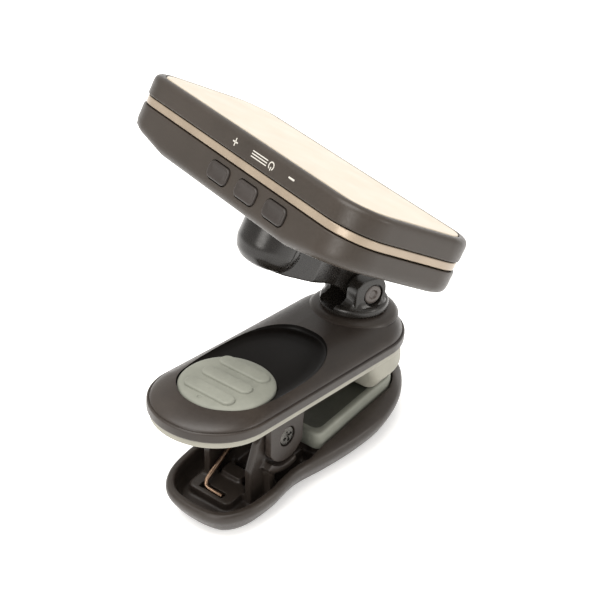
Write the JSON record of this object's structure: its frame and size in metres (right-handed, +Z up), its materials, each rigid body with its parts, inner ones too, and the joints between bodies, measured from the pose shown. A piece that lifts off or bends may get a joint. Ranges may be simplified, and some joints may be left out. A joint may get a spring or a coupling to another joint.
{
  "type": "clip on tuner",
  "caption": "Clip on instrument tuner: sprung padded clip, swivel neck and tilting display head with side buttons.",
  "frame": {"origin": "on the base plane, straight under the clip's pivot", "axes": "+X from the pivot towards the jaw tips, +Y along the clip's pivot, +Z up out of the base"},
  "size_m": [0.0549, 0.062, 0.0588],
  "materials": {
    "head_plastic": "satin moulded",
    "clip_plastic": "satin moulded, dished area polished",
    "neck_plastic": "semi-gloss moulded",
    "band_paint": "champagne metallic paint",
    "lens_clear": "clear acrylic window over a lit screen",
    "lcd_glass": "liquid crystal panel",
    "light_guide": "diffusing",
    "button_plastic": "fine texture",
    "grey_rubber": "matt",
    "steel": "plated",
    "spring_wire": "copper-toned plated wire",
    "cell_steel": null,
    "board": "solder mask",
    "chip": "moulded",
    "brass": "bright"
  },
  "bodies": {
    "clip_base": {"lower_arm": "clip_plastic", "lower_pad": "grey_rubber", "torsion_spring": "spring_wire"},
    "clip_lever": {"upper_arm": "clip_plastic", "thumb_pad": "grey_rubber", "upper_liner": "grey_rubber", "pivot_screw": "steel", "pivot_nut": "steel", "pivot_sleeve": "steel"},
    "neck": {"turret": "neck_plastic", "turret_washer": "steel", "turret_screw": "steel", "hinge_pin": "neck_plastic", "hinge_nut": "steel", "hinge_washer_near": "steel", "hinge_washer_far": "steel"},
    "head": {"head_arm": "neck_plastic", "hub_cover": "neck_plastic", "hub_screw": "steel", "front_bezel": "head_plastic", "screen_lens": "lens_clear", "lcd_panel": "lcd_glass", "backlight": "light_guide", "accent_band": "band_paint", "rear_shell": "head_plastic", "case_screw_1": "steel", "case_screw_2": "steel", "circuit_board": "board", "tuner_chip": "chip", "piezo_sensor": "brass", "coin_cell": "cell_steel", "contact_plus": "brass", "switch_plus": "chip", "switch_menu": "chip", "switch_minus": "chip"},
    "plus_key": {"button_plus": "button_plastic"},
    "menu_key": {"button_menu": "button_plastic"},
    "minus_key": {"button_minus": "button_plastic"},
    "cell_door": {"battery_door": "head_plastic"}
  },
  "joints": [
    {"name": "clip_open", "type": "hinge", "parent": "clip_base", "child": "clip_lever", "pos_m": [0, 0, 0.01105], "axis": [0, -1, 0], "range_deg": [0, 35], "stiffness_Nm_per_rad": 0.12, "springref_deg": -20.05, "deforming": ["torsion_spring"]},
    {"name": "neck_turn", "type": "hinge", "parent": "clip_lever", "child": "neck", "pos_m": [0.02536, 0, 0.01897], "axis": [0.1736, 0, 0.9848], "range_deg": [-165, 165]},
    {"name": "head_tilt", "type": "hinge", "parent": "neck", "child": "head", "pos_m": [0.02648, -0.00014, 0.02255], "axis": [0.2698, 0.9617, -0.0476], "range_deg": [-25, 65]},
    {"name": "plus_press", "type": "slide", "parent": "head", "child": "plus_key", "axis": [0.7821, -0.2477, -0.5719], "range_m": [0, 0.00035], "stiffness_N_per_m": 800, "springref_m": -0.0008},
    {"name": "menu_press", "type": "slide", "parent": "head", "child": "menu_key", "axis": [0.7821, -0.2477, -0.5719], "range_m": [0, 0.00035], "stiffness_N_per_m": 800, "springref_m": -0.0008},
    {"name": "minus_press", "type": "slide", "parent": "head", "child": "minus_key", "axis": [0.7821, -0.2477, -0.5719], "range_m": [0, 0.00035], "stiffness_N_per_m": 800, "springref_m": -0.0008},
    {"name": "door_slide", "type": "slide", "parent": "head", "child": "cell_door", "axis": [0.2698, 0.9617, -0.0476], "range_m": [0, 0.024]}
  ]
}
